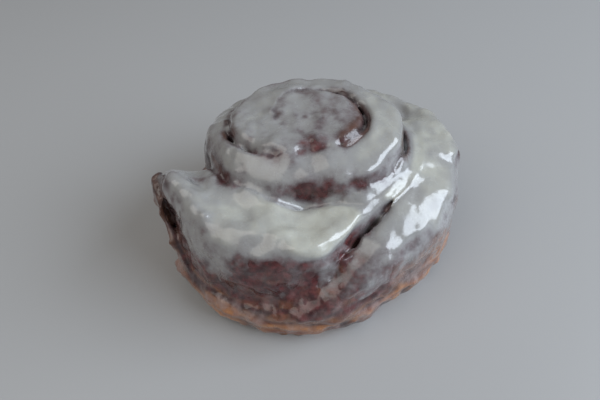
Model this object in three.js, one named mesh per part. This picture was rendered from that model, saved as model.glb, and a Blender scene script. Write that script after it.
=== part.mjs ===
// A cinnamon bun: one strip of sweet dough rolled into a spiral and baked into one piece, with white icing
// poured over it. Millimetres, +Z up. The origin is under the middle of the bun, on what it rests on.
import * as THREE from 'three';
import { mergeVertices } from 'three/addons/utils/BufferGeometryUtils.js';

// Driving dimensions.
// The strip winds outwards clockwise, seen from above. A winding angle is in degrees: every whole turn points
// to +X, 90 more to the front (-Y), 180 more to -X and 270 more to the back (+Y).
const WINDING_START = -270;
const WINDING_END = 1236;

// Winding angle, and the radius of the strip's outer seam there. One turn later it is the inner seam.
const SEAM_RADIUS = [
  [-270, 7], [-180, 12], [-90, 17], [0, 20], [45, 17.5], [90, 15], [135, 21.5], [180, 29.5], [230, 29.5],
  [280, 28.5], [340, 33.5], [360, 35], [400, 32], [450, 27], [490, 31.5], [540, 39], [630, 41], [720, 42],
  [765, 38], [786, 39.5], [808, 48], [850, 54], [870, 57], [888, 58], [905, 56], [945, 51], [990, 49],
  [1020, 50.5], [1050, 54], [1080, 56], [1110, 54], [1136, 51], [1170, 54.7], [1200, 56.2], [1236, 57],
];
// Winding angle, and the height of the strip's crest there.
const CREST_HEIGHT = [
  [-270, 58], [0, 59], [90, 58.5], [180, 57], [270, 57], [360, 56], [450, 51], [540, 49.5], [630, 44],
  [720, 43], [810, 41], [860, 43], [880, 41], [910, 28], [945, 21], [970, 25], [990, 32], [1030, 41],
  [1080, 42], [1118, 38], [1146, 34.5], [1168, 25], [1190, 16], [1236, 11],
];
// Winding angle, and how far the outer seam lies below the crests beside it.
const SEAM_DROP = [[-270, 0], [-180, 2], [-90, 3], [0, 4], [90, 5], [450, 6], [720, 6], [1236, 8]];
// Winding angle, and how much higher the strip's top is at its inner seam than at its outer one.
const TOP_SLANT = [
  [-270, 0], [180, 0], [360, 2.5], [450, 6], [540, 5], [600, 3], [720, 6], [780, 4], [810, 1], [870, 2],
  [900, 0], [1080, 0.5], [1100, 1.5], [1116, 4], [1135, 4], [1160, 2], [1180, 0], [1236, 0],
];
const SLANT_POWER = 1.3;
// How wide, to either side of a seam, the step from one turn to the next is rounded off.
const STEP_ROUND = 2.4;
const STEP_SPOTS = [-1, -0.5, 0, 0.5, 1];
// Winding angle, and how far the strip's outer edge stands up as a lip.
const LIP_HEIGHT = [[-270, 0], [780, 0], [830, 2], [850, 4], [875, 5], [900, 2], [925, 0], [1236, 0]];
// How far across a turn, from -1 at its inner seam to 1 at its outer one, the lip begins and is whole.
const LIP_START = -0.2;
const LIP_WHOLE = 0.7;
// Direction round the bun, and how low the icing runs down the side there.
const ICING_EDGE = [
  [0, 14], [20, 16], [45, 21], [60, 25], [90, 27], [135, 29], [160, 34], [185, 29], [225, 24], [270, 17],
  [315, 12], [360, 14],
];
// The edge's ripple: its height, and how many waves it has round the bun.
const EDGE_RIPPLE = 1.6;
const RIPPLE_WAVES = [5, 9];

const CROWN_POWER = 2.6;
// How fast the side's bulge fades from the rim towards the middle.
const BULGE_FADE = 4;
const SIDE_BULGE = 1.6;
const BULGE_HEIGHT = 42;
const FOOT_INSET = 2.5;
const FOOT_HEIGHT = 7;
const ICING_GAP = 0.4;
const ICING_COAT = 1.5;

// How finely the surface is stepped: directions round the bun, steps from its middle to the icing's edge, and
// from there to the foot.
const DIRECTIONS = 60;
const ICED_STEPS = 26;
const BARE_STEPS = 7;
const RIM_SHARE = 0.8;
const RIM_TURN = 0.06;
const SEARCH_STEP = 0.005;

// A smooth curve through [place, value] pairs, with the slope at each pair taken from its neighbours.
function smoothThrough(pairs, place) {
  const last = pairs.length - 1;
  const at = THREE.MathUtils.clamp(place, pairs[0][0], pairs[last][0]);
  let i = 0;
  while (i < last - 1 && at > pairs[i + 1][0]) i += 1;
  const slope = (k) => {
    const before = pairs[Math.max(k - 1, 0)];
    const after = pairs[Math.min(k + 1, last)];
    return (after[1] - before[1]) / (after[0] - before[0]);
  };
  const span = pairs[i + 1][0] - pairs[i][0];
  const t = (at - pairs[i][0]) / span;
  const [low, high] = [pairs[i][1], pairs[i + 1][1]];
  const ease = t * t * (3 - 2 * t);
  const rise = span * (t * (1 - t) * (1 - t) * slope(i) - t * t * (1 - t) * slope(i + 1));
  return low + (high - low) * ease + rise;
}

// The winding angles of the turns that lie one outside the other in a direction, from the middle outwards.
function turnsTowards(direction) {
  const turns = [];
  for (let angle = direction - 360; angle <= WINDING_END; angle += 360) {
    if (angle >= WINDING_START) turns.push(angle);
  }
  return turns;
}

function rimRadius(direction) {
  return smoothThrough(SEAM_RADIUS, turnsTowards(direction).at(-1));
}

// Height of a turn's top: a rounded crown between its inner and its outer seam, sloping outwards.
function turnHeight(direction, radius) {
  const turns = turnsTowards(direction);
  const angle = turns.find((turn) => radius <= smoothThrough(SEAM_RADIUS, turn)) ?? turns.at(-1);
  const outer = smoothThrough(SEAM_RADIUS, angle);
  const isFirst = angle - 360 < WINDING_START;
  const inner = isFirst ? -outer : smoothThrough(SEAM_RADIUS, angle - 360);
  const across = THREE.MathUtils.clamp((2 * (radius - inner)) / (outer - inner) - 1, -1, 1);
  const seam = across > 0 ? angle : angle - 360;
  const crown = smoothThrough(SEAM_DROP, seam) * Math.abs(across) ** CROWN_POWER;
  const slant = smoothThrough(TOP_SLANT, angle) * ((1 - across) / 2) ** SLANT_POWER;
  const lip = smoothThrough(LIP_HEIGHT, angle) * THREE.MathUtils.smoothstep(across, LIP_START, LIP_WHOLE);
  return smoothThrough(CREST_HEIGHT, angle) - crown + slant + lip;
}

// Height of the top surface, with the steps from turn to turn rounded off.
function topHeight(direction, radius) {
  const nearby = STEP_SPOTS.map((spot) => turnHeight(direction, Math.max(radius + spot * STEP_ROUND, 0)));
  return nearby.reduce((sum, height) => sum + height, 0) / nearby.length;
}

// How far the side stands out at a height: tucked in at the foot and swollen half way up.
function sideShift(z) {
  const foot = 1 - THREE.MathUtils.smoothstep(z, 0, FOOT_HEIGHT);
  return SIDE_BULGE * Math.sin(Math.PI * Math.min(z / BULGE_HEIGHT, 1)) - FOOT_INSET * foot;
}

// The section of the bun in one direction, as radius and height: out from the middle over the turns to the rim
// while t is below RIM_SHARE, and from there down the side wall to the foot, where t is 1.
function sectionPoint(direction, t) {
  const rim = rimRadius(direction);
  const rimHeight = topHeight(direction, rim);
  if (t > RIM_SHARE) {
    const z = (rimHeight * (1 - t)) / (1 - RIM_SHARE);
    return new THREE.Vector2(rim + sideShift(z), z);
  }
  const along = t / RIM_SHARE;
  const radius = rim * along + sideShift(rimHeight) * along ** BULGE_FADE;
  return new THREE.Vector2(radius, topHeight(direction, rim * along));
}

// A point of the bun's surface, moved off the dough by lift: straight up over the turns, and turning over the
// rim to straight out on the side wall.
function surfacePoint(direction, t, lift) {
  const point = sectionPoint(direction, t);
  const tilt = (Math.PI / 2) * THREE.MathUtils.smoothstep(t, RIM_SHARE - RIM_TURN, RIM_SHARE + RIM_TURN);
  const radius = point.x + lift * Math.sin(tilt);
  const angle = THREE.MathUtils.degToRad(-direction);
  return [radius * Math.cos(angle), radius * Math.sin(angle), point.y + lift * Math.cos(tilt)];
}

// Where on the section the icing ends: at its edge's height on the side wall, or higher up where the
// outermost turn is lower than that edge.
function icingEnd(direction) {
  const turn = THREE.MathUtils.degToRad(direction);
  const ripple = EDGE_RIPPLE * RIPPLE_WAVES.reduce((sum, waves, k) => sum + Math.sin(waves * turn + k), 0);
  const edge = smoothThrough(ICING_EDGE, direction) + ripple;
  let t = 1;
  while (sectionPoint(direction, t).y < edge) t -= SEARCH_STEP;
  return t;
}

// Even steps from low to high, with the nearest step moved onto each of the marks that lies between them.
function stepsThrough(low, high, count, marks) {
  const steps = Array.from({ length: count + 1 }, (_, i) => THREE.MathUtils.lerp(low, high, i / count));
  for (const mark of marks) {
    const nearest = Math.round((count * (mark - low)) / (high - low));
    if (nearest > 0 && nearest < count) steps[nearest] = mark;
  }
  return steps;
}

// The surface's points in a direction, as places t on the section: steps to the icing's edge and from there to
// the foot, with points on the seams and on the rim.
function stationsTowards(direction) {
  const end = icingEnd(direction);
  const seams = turnsTowards(direction).map((turn) => smoothThrough(SEAM_RADIUS, turn));
  const marks = seams.map((radius) => (RIM_SHARE * radius) / rimRadius(direction));
  const bare = stepsThrough(end, 1, BARE_STEPS, [RIM_SHARE]);
  return stepsThrough(0, end, ICED_STEPS, marks).concat(bare.slice(1));
}

const STATIONS = Array.from({ length: DIRECTIONS }, (_, k) => stationsTowards((360 * k) / DIRECTIONS));

// A point of the surface, moved off the dough by lift. k counts the directions, and i the steps.
function stationPoint(k, i, lift) {
  return surfacePoint((360 * k) / DIRECTIONS, STATIONS[k][i], lift);
}

// Whether the four-sided face between two directions and two steps is split from its near inner corner to its
// far outer one. It is split the way along which the height changes less, so that edges follow the seams.
function splitsOutwards(k, i) {
  const next = (k + 1) % DIRECTIONS;
  const height = (column, row) => stationPoint(column, row, 0)[2];
  return Math.abs(height(k, i) - height(next, i + 1)) < Math.abs(height(next, i) - height(k, i + 1));
}

// A closed surface round the Z axis. Its profile starts and ends on the axis. rows lists the step that each of
// the profile's points belongs to, and place(k, row) gives that point's position in direction k.
function turnedSurface(rows, place) {
  const lastRow = rows.length - 1;
  const isOnAxis = (row) => row === 0 || row === lastRow;
  const profile = rows.map((_, row) => new THREE.Vector2(isOnAxis(row) ? 0 : 1, row));
  const lathe = new THREE.LatheGeometry(profile, DIRECTIONS);
  lathe.deleteAttribute('normal');
  lathe.deleteAttribute('uv');
  const surface = mergeVertices(lathe, 1e-4);
  const corners = surface.attributes.position;
  for (let n = 0; n < corners.count; n += 1) {
    const row = Math.round(corners.getY(n));
    const turn = Math.atan2(corners.getX(n), corners.getZ(n)) / (2 * Math.PI);
    const k = (Math.round(turn * DIRECTIONS) + DIRECTIONS) % DIRECTIONS;
    corners.setXYZ(n, ...place(isOnAxis(row) ? 0 : k, row));
  }
  const faces = [];
  const index = surface.index.array;
  for (let n = 0; n < index.length; n += 6) {
    const [a, b, d, c] = index.slice(n, n + 4);
    const k = Math.floor(n / 6 / lastRow);
    const row = (n / 6) % lastRow;
    const isBack = rows[row + 1] <= rows[row];
    const step = Math.min(rows[row], rows[row + 1]);
    const isForward = splitsOutwards(k, step) !== isBack;
    const pair = isForward ? [[a, b, c], [a, c, d]] : [[a, b, d], [c, d, b]];
    faces.push(...pair.filter((face) => new Set(face).size === 3));
  }
  surface.setIndex(faces.flat());
  surface.computeVertexNormals();
  return surface;
}

// The baked dough: from the middle of the top, over the rim, down the wall and back along the flat foot.
function bunGeometry() {
  const steps = Array.from({ length: ICED_STEPS + BARE_STEPS + 1 }, (_, i) => i);
  return turnedSurface([...steps, 0], (k, row) => (row < steps.length ? stationPoint(k, row, 0) : [0, 0, 0]));
}

// The icing: out along its outer face to its lower edge, and back along the inner face, just off the dough.
function icingGeometry() {
  const steps = Array.from({ length: ICED_STEPS + 1 }, (_, i) => i);
  const rows = [...steps, ...steps.toReversed()];
  const liftOf = (row) => (row <= ICED_STEPS ? ICING_COAT : ICING_GAP);
  return turnedSurface(rows, (k, row) => stationPoint(k, rows[row], liftOf(row)));
}

function meshOf(name, geometry, color, roughness) {
  const material = new THREE.MeshStandardMaterial({ color, roughness, metalness: 0 });
  const mesh = new THREE.Mesh(geometry, material);
  mesh.name = name;
  return mesh;
}

// The whole part, with the middle of its box over the origin.
function cinnamonBun() {
  const part = new THREE.Group();
  part.name = 'cinnamon_bun';
  part.add(meshOf('bun', bunGeometry(), 0x6e3c2d, 0.7));
  part.add(meshOf('icing', icingGeometry(), 0xb9bfb6, 0.25));
  const box = new THREE.Box3().setFromObject(part);
  const middle = box.getCenter(new THREE.Vector3());
  part.children.forEach((mesh) => mesh.position.set(-middle.x, -middle.y, -box.min.z));
  return part;
}

export default cinnamonBun();
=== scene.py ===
"""The looks of the cinnamon bun: a rolled, baked strip of dough with wet sugar icing, round its CAD part.

Both visible pieces are surfaces of fields on one 3-D grid: the field is the distance to the piece's
surface, in millimetres, and less than nothing inside it. Lengths are in millimetres until a mesh is made.
"""
import math

import bpy
import numpy as np
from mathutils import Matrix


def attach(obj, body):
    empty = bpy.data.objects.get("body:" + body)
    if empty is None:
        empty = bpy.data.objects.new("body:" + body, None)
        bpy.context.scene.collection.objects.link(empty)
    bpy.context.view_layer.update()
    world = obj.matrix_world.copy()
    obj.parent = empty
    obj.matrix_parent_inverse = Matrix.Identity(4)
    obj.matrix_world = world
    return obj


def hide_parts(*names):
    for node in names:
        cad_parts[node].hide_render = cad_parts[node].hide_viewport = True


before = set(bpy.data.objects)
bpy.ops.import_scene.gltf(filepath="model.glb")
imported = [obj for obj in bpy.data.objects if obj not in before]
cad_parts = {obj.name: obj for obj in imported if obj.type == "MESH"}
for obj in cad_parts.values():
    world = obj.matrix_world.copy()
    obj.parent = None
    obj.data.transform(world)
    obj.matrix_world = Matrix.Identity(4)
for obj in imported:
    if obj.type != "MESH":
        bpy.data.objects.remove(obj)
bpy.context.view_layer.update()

import openvdb
from mathutils import Matrix, Vector

MM = 0.001
VOXEL = 0.6
# The grid's corners, and the step of the lattice that its noise is made on.
GRID_LOW = np.array((-68.0, -63.0, -2.5))
GRID_HIGH = np.array((68.0, 60.0, 68.0))
NOISE_STEP = 0.85
# The value of a field where its shape is absent, and of a seam's gap where there is no seam.
FAR = 30
FAR_SEAM = 99

# The strip winds outwards clockwise, seen from above. A winding angle is in degrees: every whole turn
# points to +X, 90 more to the front (-Y), 180 more to -X and 270 more to the back (+Y). Each table holds
# pairs of a winding angle and the value there. Those that the CAD part has too are sharper here.
WINDING_START = -450
WINDING_END = 1236
TURNS = range(-2, 5)
# The radius of a turn's outer seam, and the height of the turn's crest.
SEAM_RADIUS = (
    (-450, 0), (-360, 3), (-270, 7), (-180, 12), (-90, 17), (0, 20), (45, 17.5), (90, 15),
    (135, 21.5), (180, 29.5), (230, 29.5), (280, 28.5), (340, 33.5), (360, 35), (400, 32),
    (450, 27), (490, 31.5), (515, 35.5), (540, 39), (580, 41), (630, 41), (690, 42), (720, 42),
    (740, 40), (765, 38), (786, 39.5), (798, 43.5), (808, 48), (820, 50.5), (850, 53.7), (870, 54),
    (888, 55), (900, 55), (945, 51), (990, 49), (1020, 50.5), (1035, 52), (1050, 54), (1065, 55.5),
    (1080, 56), (1095, 55), (1110, 54), (1122, 52.5), (1136, 51), (1150, 52.2), (1170, 54.7),
    (1200, 56.2), (1220, 57), (1236, 57),
)
CREST_HEIGHT = (
    (-450, 57), (-270, 58), (0, 59), (90, 58.5), (180, 57), (270, 57), (360, 55.5), (405, 52.5),
    (450, 50), (540, 49.5), (600, 47.5), (630, 43.5), (720, 42), (810, 41), (850, 42), (870, 43),
    (884, 43), (894, 36), (903, 22), (915, 17), (945, 17), (970, 24), (990, 32), (1010, 38),
    (1030, 41), (1055, 42), (1080, 42), (1100, 40), (1118, 37), (1130, 36.5), (1146, 34.5),
    (1158, 30), (1168, 25), (1180, 18), (1200, 14), (1236, 9),
)
# How much higher a turn's outer rim stands than its crest. It ends in the raised lip at the left.
LIP_HEIGHT = (
    (-450, 0), (780, 0), (800, 1), (830, 2), (860, 4), (884, 6), (893, 3), (905, 0), (1236, 0),
)
# How round a turn's edges are: its inner edge, and its outer one.
INNER_ROUND = 1.8
EDGE_ROUND = (
    (-450, 3.5), (90, 3.5), (270, 4), (450, 5), (690, 6), (720, 6), (750, 3.5), (775, 3), (792, 4),
    (808, 7.5), (830, 9.5), (860, 8.5), (1000, 6), (1080, 5), (1098, 6), (1115, 8), (1135, 7),
    (1150, 5), (1236, 4),
)
# How much higher a turn's top is at its inner seam than at its rim.
TOP_SLANT = (
    (-450, 0), (180, 0), (300, 1), (360, 2.5), (405, 4.5), (450, 6.5), (495, 6.5), (540, 5),
    (600, 3), (690, 4), (720, 7), (750, 7), (780, 4), (810, 0.5), (835, 3), (870, 3), (885, 1),
    (900, 0), (1000, 0), (1080, 0.5), (1100, 1.5), (1116, 4), (1135, 4), (1160, 2), (1180, 0),
    (1236, 0),
)
SLANT_POWER = 1.3
# How softly a turn meets the next one out.
SEAM_BLEND = (
    (-450, 4), (-130, 4), (-90, 3), (0, 3.2), (60, 3), (90, 2.5), (130, 2.5), (180, 2), (210, 2),
    (300, 5), (335, 2), (350, 2), (380, 3), (420, 4), (445, 2), (470, 2), (500, 5), (530, 5),
    (575, 6), (740, 5), (760, 2.5), (788, 2.5), (800, 5), (815, 8), (1236, 8),
)
# How deep the crease of a seam is, how bare of icing it is, from 0 to 1, and the bare stretch's half width.
CREASE_DEPTH = (
    (-450, 0), (-120, 0), (-70, 0.8), (0, 0.5), (60, 0.5), (90, 0.6), (130, 0.7), (180, 1.2),
    (210, 0.6), (300, 0), (340, 1), (380, 0.8), (410, 0.4), (450, 0.8), (480, 0.6), (500, 0.4),
    (520, 1), (540, 0.6), (570, 0), (740, 0), (765, 1), (800, 1), (820, 0.4), (840, 0), (1236, 0),
)
SEAM_BARE = (
    (-450, 0), (-130, 0), (-95, 0.15), (-60, 0.4), (-20, 0.5), (20, 0.55), (50, 0.4), (65, 0.15),
    (85, 0.3), (105, 0.12), (130, 0.2), (150, 0.4), (175, 0.6), (200, 0.7), (230, 0.6), (250, 0.1),
    (315, 0), (335, 0.5), (350, 0.5), (362, 0.2), (380, 0.25), (398, 0.12), (425, 0.08),
    (438, 0.28), (460, 0.28), (472, 0.08), (500, 0.2), (512, 0.5), (538, 0.6), (550, 0.3), (572, 0),
    (600, 0), (745, 0), (762, 0.7), (795, 0.8), (812, 0.4), (840, 0), (1236, 0),
)
BARE_REACH = (
    (-450, 1.5), (-60, 1.5), (0, 2.2), (30, 2), (60, 1.2), (90, 1.5), (180, 1.8), (230, 1.4),
    (345, 2), (380, 1.4), (420, 1.6), (455, 2.2), (480, 1.8), (525, 2.6), (765, 0.9), (800, 1.1),
    (830, 1.5), (1236, 1.5),
)
# How thick the icing lies on a turn's walls, and how much thicker on its top.
WALL_ICING = (
    (-450, 0.3), (0, 0.3), (90, 0.35), (180, 0.4), (360, 0.5), (380, 0.42), (400, 0.32),
    (430, 0.38), (475, 0.42), (500, 0.42), (720, 0.6), (760, 0.6), (780, 0.66), (860, 0.6),
    (900, 0.4), (980, 0.36), (1040, 0.6), (1110, 0.5), (1140, 0.35), (1155, 0.15), (1168, 0),
    (1236, -0.1),
)
ICING_DEPTH = (
    (-450, 0.2), (-200, 0.3), (-90, 0.2), (0, 0.1), (90, 0.15), (150, 0.5), (240, 0.5), (300, 0.5),
    (360, 1.1), (420, 0.7), (450, 0.4), (520, 0.6), (600, 0.7), (720, 1.2), (780, 1.9), (815, 1.9),
    (840, 1.2), (870, 0.8), (885, 0.6), (960, 0.6), (1020, 1), (1080, 1.2), (1125, 1), (1142, 0.6),
    (1155, 0.1), (1165, 0), (1236, 0),
)
# These two go round the bun by direction: how low the icing runs down the side, and the height of the thin
# layer that has come loose outside the lip.
ICING_EDGE = (
    (0, 14), (20, 17), (45, 22), (60, 27), (80, 31), (110, 33), (132, 33), (148, 37), (165, 39),
    (185, 30), (225, 24), (270, 17), (315, 12), (360, 14),
)
FLAP_TOP = (
    (0, -9), (136, -9), (142, 10), (150, 26), (160, 37), (168, 41), (174, 38), (179, 20), (184, -9),
    (360, -9),
)
FLAP_RADIUS = 54.3
FLAP_HALF = 1.3
FLAP_LEAN = 3.0
FLAP_BLEND = 0.8

# The side swells half way up and is tucked in at the foot, less so nearer the middle than SWELL_RADIUS.
SIDE_BULGE = 1.6
BULGE_HEIGHT = 42.0
SWELL_RADIUS = 50
FOOT_INSET = 2.5
FOOT_HEIGHT = 7.0

# Stretches round the bun: the directions where each starts, is whole, starts to end, and has ended.
FRONT = (35, 70, 140, 170)
LEFT_SIDE = (120, 150, 190, 220)
# How far from a seam its crease is felt, and how far its dark filling is seen.
CREASE_REACH = 1.4
SEAM_REACH = 1.6
# The icing's film follows the dough blurred a little, and its pool fills what a wider blur fills.
FILM_BLUR = 0.8
POOL_BLUR = 3.0
POOL_BLEND = 1.5
# How far above and below its edge the icing thins out, and how far the edge wanders.
EDGE_FADE = 9
EDGE_WANDER = 3
# How many times wider a bump is than the blur that makes it.
BUMP_TO_BLUR = 2.5
# The crust's relief: seed, size of the bumps and height, and for wrinkles also their stretch.
BUMPS = ((1, 9, 0.45), (2, 4, 0.24), (3, 2, 0.12))
SIDE_WRINKLES = (6, 2.2, 0.3, (1, 1, 5))
LOW_WRINKLES = (7, 2.4, 0.32, (3.5, 3.5, 1))

# Colours of the crust: each pair is its darker and its lighter shade.
MAROON = ((0.040, 0.007, 0.009), (0.125, 0.028, 0.030))
# Dark crust at the seams and in the hollows: the filling, with painted shade in the hollows.
SUNKEN = ((0.030, 0.018, 0.020), (0.080, 0.046, 0.050))
BROWN = ((0.05, 0.022, 0.019), (0.12, 0.056, 0.042))
ORANGE = ((0.17, 0.05, 0.022), (0.44, 0.19, 0.075))
# Pale patches of the crust, high and low on its side, and smears of melted icing.
PALE = ((0.11, 0.06, 0.055), (0.27, 0.14, 0.105))
SMEAR = (0.40, 0.30, 0.28)
# The icing where it is thin, thick and in a pool, and its greyer clouds.
MILK = ((0.215, 0.193, 0.200), (0.330, 0.326, 0.320))
CREAM = (0.51, 0.51, 0.45)
CLOUD = (0.30, 0.30, 0.305)
FLOOR_COLOR = (0.44, 0.44, 0.44)
WORLD_COLOR = (0.22, 0.22, 0.22, 1)

FLOOR_SIDE = 3.0
CAMERA_LENS = 28.8
CAMERA_ELEVATION = math.radians(46.6)
CAMERA_ROLL = math.radians(-2.4)
CAMERA_DISTANCE = 222.5
# The point that the camera looks at, from the roll's own centre.
CAMERA_AIM = Vector((-4.5, 15.0, 0))
# Name, place, target, width and height in metres, power and colour.
LIGHTS = (
    ("window", (0.93, -0.22, 0.64), (0, 0, 0.03), (1.1, 0.8), 15, (0.80, 0.89, 1.0)),
    ("room", (-0.5, -0.3, 0.8), (0, 0, 0.02), (0.9, 0.9), 3.0, (1.0, 0.96, 0.9)),
)


def smooth_through(pairs, places):
    """A smooth curve through (place, value) pairs. The slope at a pair comes from its neighbours."""
    xs = np.array([pair[0] for pair in pairs], float)
    ys = np.array([pair[1] for pair in pairs], float)
    slopes = np.empty_like(ys)
    slopes[1:-1] = (ys[2:] - ys[:-2]) / (xs[2:] - xs[:-2])
    slopes[0] = (ys[1] - ys[0]) / (xs[1] - xs[0])
    slopes[-1] = (ys[-1] - ys[-2]) / (xs[-1] - xs[-2])
    at = np.clip(places, xs[0], xs[-1])
    i = np.clip(np.searchsorted(xs, at) - 1, 0, len(xs) - 2)
    span = xs[i + 1] - xs[i]
    t = (at - xs[i]) / span
    ease = t * t * (3 - 2 * t)
    rise = span * (t * (1 - t) ** 2 * slopes[i] - t * t * (1 - t) * slopes[i + 1])
    return (ys[i] + (ys[i + 1] - ys[i]) * ease + rise).astype(np.float32)


def smoothstep(value, low, high):
    """A smooth rise from 0 at low to 1 at high."""
    t = np.clip((value - low) / (high - low), 0, 1)
    return t * t * (3 - 2 * t)


def within(value, stretch):
    """1 inside a stretch and 0 outside it, with smooth ends."""
    start, whole, end, gone = stretch
    return smoothstep(value, start, whole) * (1 - smoothstep(value, end, gone))


def smooth_min(a, b, blend):
    """The lower of two fields, rounded where they meet."""
    h = np.maximum(blend - np.abs(a - b), 0) / blend
    return np.minimum(a, b) - h * h * blend / 4


def largest_part(corners, quads):
    """The corners and quads of the largest connected part of a mesh."""
    corners = np.asarray(corners, float)
    quads = np.asarray(quads, int)
    label = np.arange(len(corners))
    while True:
        lowest = label[quads].min(axis=1)
        after = label.copy()
        for k in range(4):
            np.minimum.at(after, quads[:, k], lowest)
        after = after[after]
        if np.array_equal(after, label):
            break
        label = after
    kept = label == np.bincount(label).argmax()
    place = np.cumsum(kept) - 1
    return corners[kept], place[quads[kept[quads[:, 0]]]]


class Grid:
    """The voxels' places, in millimetres, and where they lie in the roll."""

    def __init__(self, low, high, voxel):
        self.low = low
        self.voxel = voxel
        self.shape = tuple(int(n) for n in np.ceil((high - low) / voxel) + 1)
        axes = [low[k] + voxel * np.arange(self.shape[k]) for k in range(3)]
        self.x = axes[0][:, None, None].astype(np.float32)
        self.y = axes[1][None, :, None].astype(np.float32)
        self.z = axes[2][None, None, :].astype(np.float32)
        self.radius = np.hypot(self.x, self.y)
        self.direction = np.degrees(np.arctan2(-self.y, self.x)) % 360
        self.map_seams()

    def map_seams(self):
        """Says which turn each place is in, and which seam is nearest and how far it is."""
        self.winding = (WINDING_END - (WINDING_END - self.direction) % 360).astype(np.float32)
        self.seam_gap = np.full(self.radius.shape, FAR_SEAM, np.float32)
        self.seam_winding = np.zeros(self.radius.shape, np.float32)
        wall_radius = self.radius - SIDE_BULGE * np.minimum(self.radius / SWELL_RADIUS, 1)
        for turn in TURNS:
            winding = self.direction + 360 * turn
            outer = smooth_through(SEAM_RADIUS, winding)
            inner = smooth_through(SEAM_RADIUS, winding - 360)
            inside = (wall_radius >= inner) & (wall_radius < outer)
            self.winding = np.where(inside, winding, self.winding)
            gap = np.abs(self.radius - outer)
            nearer = (gap < self.seam_gap) & (winding > WINDING_START) & (winding < WINDING_END)
            self.seam_winding = np.where(nearer, winding, self.seam_winding)
            self.seam_gap = np.where(nearer, gap, self.seam_gap)

    def noise(self, seed, size, stretch=(1, 1, 1)):
        """Even random bumps about size millimetres across, with a spread of one."""
        counts = [int(n) for n in np.ceil((GRID_HIGH - GRID_LOW) / NOISE_STEP) + 1]
        rng = np.random.default_rng(seed)
        spectrum = np.fft.rfftn(rng.standard_normal(counts, dtype=np.float32))
        for k, count in enumerate(counts):
            width = size * stretch[k] / NOISE_STEP / BUMP_TO_BLUR
            steps = np.fft.rfftfreq(count) if k == 2 else np.fft.fftfreq(count)
            fade = np.exp(-2 * (math.pi * width * steps) ** 2)
            spectrum *= fade.reshape([-1 if j == k else 1 for j in range(3)])
        bumps = np.fft.irfftn(spectrum, s=counts).astype(np.float32)
        bumps /= bumps.std()
        for k, count in enumerate(counts):
            at = np.arange(self.shape[k]) * self.voxel / NOISE_STEP
            base = np.minimum(at.astype(int), count - 2)
            part = (at - base).astype(np.float32).reshape([-1 if j == k else 1 for j in range(3)])
            before = np.take(bumps, base, axis=k)
            after = np.take(bumps, base + 1, axis=k)
            bumps = before * (1 - part) + after * part
        return bumps

    def blurred(self, field, size):
        """The field averaged over about size millimetres."""
        sigma = size / self.voxel
        reach = int(3 * sigma)
        weights = np.exp(-0.5 * (np.arange(-reach, reach + 1) / sigma) ** 2)
        weights /= weights.sum()
        for axis in range(3):
            margins = [(reach, reach) if k == axis else (0, 0) for k in range(3)]
            padded = np.pad(field, margins, mode="edge")
            total = np.zeros_like(field)
            for i, weight in enumerate(weights):
                window = [slice(None)] * 3
                window[axis] = slice(i, i + field.shape[axis])
                total += np.float32(weight) * padded[tuple(window)]
            field = total
        return field

    def sample(self, field, points):
        """The field's values at points in millimetres."""
        field = np.broadcast_to(field, self.shape)
        at = (points - self.low) / self.voxel
        at = np.clip(at, 0, np.array(self.shape) - 1.001)
        base = at.astype(int)
        part = at - base
        total = np.zeros(len(points))
        for corner in range(8):
            step = np.array([(corner >> k) & 1 for k in range(3)])
            weight = np.prod(np.where(step, part, 1 - part), axis=1)
            i = base + step
            total += weight * field[i[:, 0], i[:, 1], i[:, 2]]
        return total

    def surface(self, name, field):
        """A closed mesh object where the field is nothing."""
        band = 4 * self.voxel
        values = openvdb.FloatGrid(background=band)
        values.copyFromArray(np.clip(field, -band, band).astype(np.float32))
        corners, quads = largest_part(*values.convertToQuads(isovalue=0.0)[:2])
        points = self.low + corners * self.voxel
        mesh = bpy.data.meshes.new(name)
        mesh.from_pydata((points * MM).tolist(), [], quads[:, ::-1].tolist())
        mesh.shade_smooth()
        piece = bpy.data.objects.new(name, mesh)
        bpy.context.scene.collection.objects.link(piece)
        return piece, points


def side_shift(z):
    """How far the side stands out at a height: tucked in at the foot and swollen half way up."""
    foot = 1 - smoothstep(z, 0, FOOT_HEIGHT)
    return SIDE_BULGE * np.sin(math.pi * np.minimum(z / BULGE_HEIGHT, 1)) - FOOT_INSET * foot


def turn_field(grid, winding):
    """The field of one turn of the strip, at a winding angle for each column of the grid."""
    outer = smooth_through(SEAM_RADIUS, winding)
    inner = np.where(winding - 360 < WINDING_START, 0, smooth_through(SEAM_RADIUS, winding - 360))
    crest = smooth_through(CREST_HEIGHT, winding)
    middle = (inner + outer) / 2
    half = np.maximum((outer - inner) / 2, 0.5)
    across = (grid.radius - middle) / half
    lip = smooth_through(LIP_HEIGHT, winding) * smoothstep(across, -0.3, 0.75)
    slant = smooth_through(TOP_SLANT, winding) * np.clip((1 - across) / 2, 0, 1) ** SLANT_POWER
    outer_round = smooth_through(EDGE_ROUND, winding)
    rounding = INNER_ROUND + (outer_round - INNER_ROUND) * smoothstep(across, -0.5, 0.3)
    rounding = np.minimum(half, rounding)
    shift = side_shift(grid.z) * np.minimum(grid.radius / SWELL_RADIUS, 1)
    sideways = np.abs(grid.radius - shift - middle) - half + rounding
    upward = grid.z - (crest + lip + slant) + rounding
    corner = np.hypot(np.maximum(sideways, 0), np.maximum(upward, 0))
    field = corner + np.minimum(np.maximum(sideways, upward), 0) - rounding
    absent = (winding < WINDING_START) | (winding > WINDING_END)
    return np.where(absent, FAR, field).astype(np.float32)


def flap_field(grid):
    """The thin layer outside the lip, which leans away from it towards its top."""
    middle = FLAP_RADIUS + side_shift(grid.z) + FLAP_LEAN * smoothstep(grid.z, 16, 38)
    sideways = np.abs(grid.radius - middle) - FLAP_HALF
    upward = grid.z - smooth_through(FLAP_TOP, grid.direction)
    return np.maximum(sideways, upward * 0.6)


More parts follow.
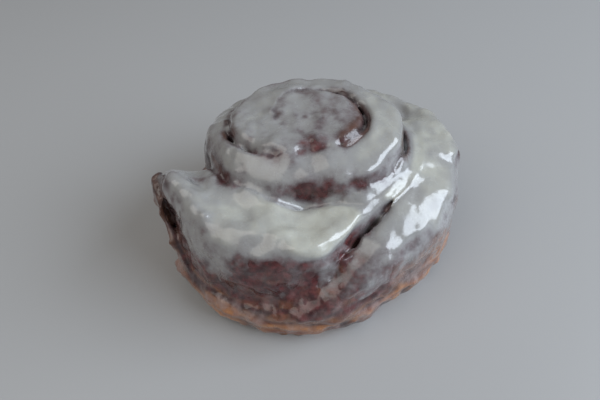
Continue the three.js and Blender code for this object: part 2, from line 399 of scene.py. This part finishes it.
def dough_field(grid):
    """The loaf: its turns and the loose layer, with the seams' creases and the crust's relief."""
    field = np.full(grid.shape, FAR, np.float32)
    for turn in TURNS:
        winding = grid.direction + 360 * turn
        blend = smooth_through(SEAM_BLEND, winding - 360)
        field = smooth_min(field, turn_field(grid, winding), blend)
    field = smooth_min(field, flap_field(grid), FLAP_BLEND)
    crease = smooth_through(CREASE_DEPTH, grid.seam_winding)
    field += crease * np.exp(-((grid.seam_gap / CREASE_REACH) ** 2))
    field += sum(height * grid.noise(seed, size) for seed, size, height in BUMPS)
    left_side = within(grid.direction, LEFT_SIDE)
    low = 1 - smoothstep(grid.z, 12, 24)
    for share, (seed, size, height, stretch) in ((left_side, SIDE_WRINKLES), (low, LOW_WRINKLES)):
        field += height * share * grid.noise(seed, size, stretch)
    return np.maximum(field, -grid.z)


def icing_field(grid, dough):
    """The icing: deep on what faces up, thin on the walls, gone at the bare seams and low on the sides.

    The film follows the dough, and the pool fills what a wider blur of the dough fills.
    """
    soft = grid.blurred(dough, 1.5)
    facing_up = smoothstep(np.gradient(soft, grid.voxel, axis=2), 0.65, 0.99)
    edge = smooth_through(ICING_EDGE, grid.direction) + EDGE_WANDER * grid.noise(4, 7, (1, 1, 2.5))
    run = smoothstep(grid.z, edge - EDGE_FADE, edge + EDGE_FADE)
    gone = 1 - smoothstep(grid.z, edge - 13, edge - 3)
    reach = smooth_through(BARE_REACH, grid.seam_winding)
    bare = smooth_through(SEAM_BARE, grid.seam_winding) * np.exp(-((grid.seam_gap / reach) ** 2))
    bare = bare * (1 + 0.4 * grid.noise(8, 3.5)) * smoothstep(grid.z, 20, 30)
    wall = smooth_through(WALL_ICING, grid.winding) * run + 0.14 * grid.noise(5, 4)
    depth = wall + smooth_through(ICING_DEPTH, grid.winding) * facing_up * run - 0.8 * gone - bare
    film = grid.blurred(dough, FILM_BLUR) - depth
    pool = grid.blurred(dough, POOL_BLUR) - 0.4 * depth + 4.0 * (1 - run) + 5.0 * bare
    return smooth_min(film, pool, POOL_BLEND)


def set_values(mesh, name, values):
    """Stores one number for each point of the mesh, which a material can read."""
    layer = mesh.attributes.new(name, "FLOAT", "POINT")
    layer.data.foreach_set("value", np.asarray(values, np.float32))


def mark_surface(grid, dough, piece, points):
    """Stores what the materials read about each point.

    "depth" is the icing's depth over the dough, "hollow" how hollow the dough is, "seam" how near a seam
    is, "baked" how much filling has boiled over the front, and "low" how near the foot the point is.
    """
    mesh = piece.data
    height = points[:, 2]
    seam = np.exp(-((grid.seam_gap / SEAM_REACH) ** 2))
    front = within(grid.direction, FRONT)
    set_values(mesh, "depth", np.maximum(grid.sample(dough, points), 0))
    set_values(mesh, "hollow", -grid.sample(grid.blurred(dough, 2.0), points))
    set_values(mesh, "seam", grid.sample(seam, points))
    set_values(mesh, "baked", grid.sample(front, points) * smoothstep(height, 12, 19))
    set_values(mesh, "low", 1 - smoothstep(height, 18, 42))


class Nodes:
    """A short way to write a material's nodes."""

    def __init__(self, name):
        self.material = bpy.data.materials.new(name)
        self.material.use_nodes = True
        self.tree = self.material.node_tree
        self.shader = self.tree.nodes["Principled BSDF"]
        self.place = self.tree.nodes.new("ShaderNodeTexCoord").outputs["Object"]

    def set(self, socket, value):
        """Links a value that comes from a node, or sets the socket's own value."""
        if isinstance(value, bpy.types.NodeSocket):
            self.tree.links.new(value, socket)
        elif isinstance(value, tuple) and len(value) == 3 and socket.type == "RGBA":
            socket.default_value = (*value, 1)
        else:
            socket.default_value = value

    def attribute(self, name):
        node = self.tree.nodes.new("ShaderNodeAttribute")
        node.attribute_name = name
        return node.outputs["Fac"]

    def math(self, operation, a, b):
        node = self.tree.nodes.new("ShaderNodeMath")
        node.operation = operation
        self.set(node.inputs[0], a)
        self.set(node.inputs[1], b)
        return node.outputs[0]

    def ramp(self, value, low, high, to_low=0.0, to_high=1.0):
        """The value spread from low..high to to_low..to_high, with soft ends."""
        node = self.tree.nodes.new("ShaderNodeMapRange")
        node.interpolation_type = "SMOOTHSTEP"
        spread = {"Value": value, "From Min": low, "From Max": high, "To Min": to_low, "To Max": to_high}
        for name, number in spread.items():
            self.set(node.inputs[name], number)
        return node.outputs["Result"]

    def mix(self, share, a, b):
        """The colour that is a share of the way from a to b."""
        node = self.tree.nodes.new("ShaderNodeMix")
        node.data_type = "RGBA"
        colors = {s.name: s for s in node.inputs if s.type == "RGBA"}
        self.set(node.inputs["Factor"], share)
        self.set(colors["A"], a)
        self.set(colors["B"], b)
        return [s for s in node.outputs if s.type == "RGBA"][0]

    def scaled(self, stretch):
        node = self.tree.nodes.new("ShaderNodeMapping")
        node.inputs["Scale"].default_value = stretch
        self.set(node.inputs["Vector"], self.place)
        return node.outputs["Vector"]

    def noise(self, size, detail=3.0, stretch=(1, 1, 1)):
        """Cloudy noise from 0 to 1, with features of about size millimetres."""
        node = self.tree.nodes.new("ShaderNodeTexNoise")
        self.set(node.inputs["Vector"], self.scaled(stretch))
        node.inputs["Scale"].default_value = 1 / (size * MM)
        node.inputs["Detail"].default_value = detail
        node.inputs["Roughness"].default_value = 0.55
        return node.outputs["Fac"]

    def cells(self, size):
        """The distance to the nearest of many scattered points, about size millimetres apart."""
        node = self.tree.nodes.new("ShaderNodeTexVoronoi")
        self.set(node.inputs["Vector"], self.place)
        node.inputs["Scale"].default_value = 1 / (size * MM)
        return node.outputs["Distance"]

    def bump(self, height, depth, strength, normal=None):
        """Relief of a height from 0 to 1 that stands for a depth in millimetres."""
        node = self.tree.nodes.new("ShaderNodeBump")
        node.inputs["Distance"].default_value = depth * MM
        node.inputs["Strength"].default_value = strength
        self.set(node.inputs["Height"], height)
        if normal is not None:
            self.set(node.inputs["Normal"], normal)
        return node.outputs["Normal"]


def crust_color(nodes):
    """Baked dough: maroon where filling has boiled over it, orange-brown where plain, dark in hollows from
    filling and painted shade.
    """
    streaks = nodes.noise(5, 4, (0.35, 0.35, 1.6))
    patches = nodes.noise(7, 3)
    grains = nodes.noise(2.6, 3)
    orange = nodes.mix(nodes.ramp(streaks, 0.35, 0.65), *ORANGE)
    brown = nodes.mix(nodes.ramp(streaks, 0.35, 0.65), *BROWN)
    pale = nodes.mix(nodes.attribute("low"), *PALE)
    plain = nodes.mix(nodes.attribute("low"), brown, orange)
    plain = nodes.mix(nodes.ramp(patches, 0.45, 0.7), plain, pale)
    maroon = nodes.mix(nodes.ramp(grains, 0.35, 0.7), *MAROON)
    sunken = nodes.mix(nodes.ramp(grains, 0.35, 0.7), *SUNKEN)
    dark = nodes.mix(nodes.attribute("baked"), sunken, maroon)
    # Painted shade in the dough's hollows, where some of the filling also shows.
    filling_and_shade = nodes.ramp(nodes.attribute("hollow"), 0.0, 0.9)
    seam = nodes.ramp(nodes.attribute("seam"), 0.3, 1.0)
    baked = nodes.math("MULTIPLY", nodes.attribute("baked"), nodes.ramp(patches, 0.3, 0.55, 0.75, 1.0))
    share = nodes.math("MAXIMUM", nodes.math("MAXIMUM", filling_and_shade, seam), baked)
    return nodes.mix(share, plain, dark)


def crust_material():
    """The moist crust, with pale smears low down and a thin glaze of syrup."""
    nodes = Nodes("crust")
    color = crust_color(nodes)
    smears = nodes.noise(5, 4, (0.7, 0.7, 0.5))
    share = nodes.ramp(smears, 0.45, 0.7, 0.0, 0.65)
    share = nodes.math("MULTIPLY", share, nodes.ramp(nodes.attribute("baked"), 0.2, 0.9, 1.0, 0.45))
    share = nodes.math("MULTIPLY", share, nodes.ramp(nodes.attribute("low"), 0.0, 0.5, 0.3, 1.0))
    nodes.set(nodes.shader.inputs["Base Color"], nodes.mix(share, color, SMEAR))
    nodes.set(nodes.shader.inputs["Roughness"], nodes.ramp(nodes.noise(3), 0.3, 0.7, 0.2, 0.5))
    coarse = nodes.bump(nodes.noise(2.5, 4), 0.6, 0.7)
    nodes.set(nodes.shader.inputs["Normal"], nodes.bump(nodes.noise(0.7, 2), 0.2, 0.6, coarse))
    nodes.shader.inputs["Coat Weight"].default_value = 0.7
    nodes.shader.inputs["Coat Roughness"].default_value = 0.1
    return nodes.material


def icing_material():
    """Wet sugar icing: milky where it is deep, and the crust shows through it where it is thin."""
    nodes = Nodes("icing")
    depth = nodes.attribute("depth")
    fine = nodes.math("MULTIPLY", nodes.math("SUBTRACT", nodes.noise(1.6, 3), 0.5), 0.6)
    broad = nodes.math("MULTIPLY", nodes.math("SUBTRACT", nodes.noise(5, 3), 0.5), 0.7)
    varied = nodes.math("ADD", depth, nodes.math("ADD", fine, broad))
    cover = nodes.ramp(varied, -0.2, 0.7)
    milk = nodes.mix(nodes.ramp(varied, 0.2, 1.1), *MILK)
    milk = nodes.mix(nodes.ramp(depth, 1.0, 2.4), milk, CREAM)
    milk = nodes.mix(nodes.ramp(nodes.noise(9, 3), 0.4, 0.75, 0.0, 0.4), milk, CLOUD)
    nodes.set(nodes.shader.inputs["Base Color"], nodes.mix(cover, crust_color(nodes), milk))
    nodes.set(nodes.shader.inputs["Roughness"], nodes.ramp(nodes.noise(4), 0.3, 0.7, 0.14, 0.32))
    waves = nodes.bump(nodes.noise(3.5, 2), 0.5, 0.3)
    pits = nodes.ramp(nodes.cells(1.6), 0.0, 0.35)
    nodes.set(nodes.shader.inputs["Normal"], nodes.bump(pits, 0.12, 0.3, waves))
    nodes.shader.inputs["Coat Weight"].default_value = 1.0
    nodes.shader.inputs["Coat Roughness"].default_value = 0.12
    nodes.shader.inputs["Subsurface Weight"].default_value = 0.15
    nodes.shader.inputs["Subsurface Radius"].default_value = (1.0, 0.85, 0.75)
    nodes.shader.inputs["Subsurface Scale"].default_value = 1.5 * MM
    return nodes.material


def floor_material():
    nodes = Nodes("floor")
    nodes.set(nodes.shader.inputs["Base Color"], FLOOR_COLOR)
    nodes.shader.inputs["Roughness"].default_value = 0.35
    return nodes.material


def add_light(name, place, target, size, power, color):
    data = bpy.data.lights.new(name, "AREA")
    data.shape = "RECTANGLE"
    data.size, data.size_y = size
    data.energy = power
    data.color = color
    light = bpy.data.objects.new(name, data)
    light.location = place
    light.rotation_euler = (Vector(target) - Vector(place)).to_track_quat("-Z", "Y").to_euler()
    bpy.context.scene.collection.objects.link(light)


def add_camera(middle):
    """The camera looks down at the bun from in front, close to it. The middle is the roll's own centre."""
    data = bpy.data.cameras.new("camera")
    data.sensor_width = 36
    data.lens = CAMERA_LENS
    data.clip_start = 0.01
    camera = bpy.data.objects.new("camera", data)
    back = Vector((0, -math.cos(CAMERA_ELEVATION), math.sin(CAMERA_ELEVATION)))
    place = middle + CAMERA_AIM * MM + back * CAMERA_DISTANCE * MM
    turn = Matrix.Rotation(math.pi / 2 - CAMERA_ELEVATION, 4, "X") @ Matrix.Rotation(CAMERA_ROLL, 4, "Z")
    camera.matrix_world = Matrix.Translation(place) @ turn
    bpy.context.scene.collection.objects.link(camera)
    bpy.context.scene.camera = camera


def add_floor():
    mesh = bpy.data.meshes.new("floor")
    corners = [(x * FLOOR_SIDE, y * FLOOR_SIDE, 0) for x, y in ((-1, -1), (1, -1), (1, 1), (-1, 1))]
    mesh.from_pydata(corners, [], [(0, 1, 2, 3)])
    floor = bpy.data.objects.new("floor", mesh)
    mesh.materials.append(floor_material())
    bpy.context.scene.collection.objects.link(floor)


def add_world():
    world = bpy.data.worlds.new("world")
    world.use_nodes = True
    world.node_tree.nodes["Background"].inputs["Color"].default_value = WORLD_COLOR
    bpy.context.scene.world = world
    bpy.context.scene.view_settings.view_transform = "Standard"


def centre_pieces(pieces):
    """Moves the pieces' meshes so that the middle of their box is over the origin.

    Returns the move, which is where the roll's own centre now is.
    """
    corners = np.array([corner.co for piece in pieces for corner in piece.data.vertices])
    middle = (corners.min(0) + corners.max(0)) / 2
    move = Vector((-middle[0], -middle[1], 0))
    for piece in pieces:
        piece.data.transform(Matrix.Translation(move))
    return move


grid = Grid(GRID_LOW, GRID_HIGH, VOXEL)
dough = dough_field(grid)
icing = icing_field(grid, dough)
bun_piece, bun_points = grid.surface("bun_dough", dough)
icing_piece, icing_points = grid.surface("icing_coat", icing)
mark_surface(grid, dough, bun_piece, bun_points)
mark_surface(grid, dough, icing_piece, icing_points)
bun_piece.data.materials.append(crust_material())
icing_piece.data.materials.append(icing_material())
for piece, node, slot in ((bun_piece, "bun", "crust"), (icing_piece, "icing", "icing")):
    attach(piece, "root")
    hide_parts(node)

add_camera(centre_pieces([bun_piece, icing_piece]))
add_floor()
for light in LIGHTS:
    add_light(*light)
add_world()
